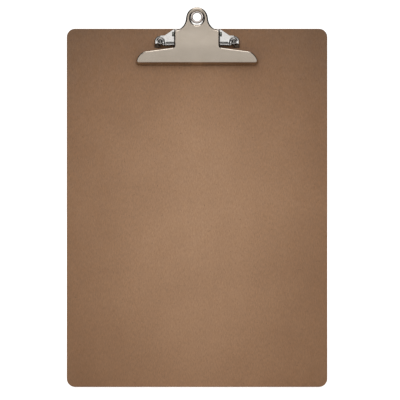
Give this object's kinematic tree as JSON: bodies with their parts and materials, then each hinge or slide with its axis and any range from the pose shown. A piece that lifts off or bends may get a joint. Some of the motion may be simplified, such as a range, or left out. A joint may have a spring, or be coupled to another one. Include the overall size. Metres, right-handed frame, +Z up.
{
  "type": "clipboard",
  "caption": "Letter-size brown hardboard clipboard with a sprung, nickel-plated lever clip riveted at its top edge and an eyelet to hang it by.",
  "frame": {"origin": "middle of the board's bottom edge face, halfway through its thickness", "axes": "+Z runs up the board from its bottom edge to the clip; the writing face and the clip face -Y; +X is to the right as seen by someone looking at the writing face"},
  "size_m": [0.2286, 0.0239, 0.3326],
  "materials": {
    "hardboard": "tempered brown hardboard, matt with fine fibres and specks",
    "base_nickel": "bright nickel plate on pressed steel",
    "eyelet_nickel": "bright nickel plate, rolled",
    "lever_nickel": "satin nickel plate on pressed steel",
    "pin_steel": "plated steel pin with headed ends",
    "spring_steel": "drawn spring wire",
    "rivet_nickel": "nickel-plated tubular rivet"
  },
  "bodies": {
    "board_and_base": {"board": "hardboard", "base_plate": "base_nickel", "hang_eyelet": "eyelet_nickel", "rivet_left": "rivet_nickel", "rivet_right": "rivet_nickel", "torsion_spring": "spring_steel"},
    "lever": {"clamp_lever": "lever_nickel", "pivot_pin": "pin_steel"}
  },
  "joints": [
    {"name": "lever_hinge", "type": "hinge", "parent": "board_and_base", "child": "lever", "pos_m": [0, -0.0106, 0.3081], "axis": [-1, 0, 0], "range_deg": [0, 27], "stiffness_Nm_per_rad": 0.3, "springref_deg": -57.3, "deforming": ["torsion_spring"]}
  ]
}
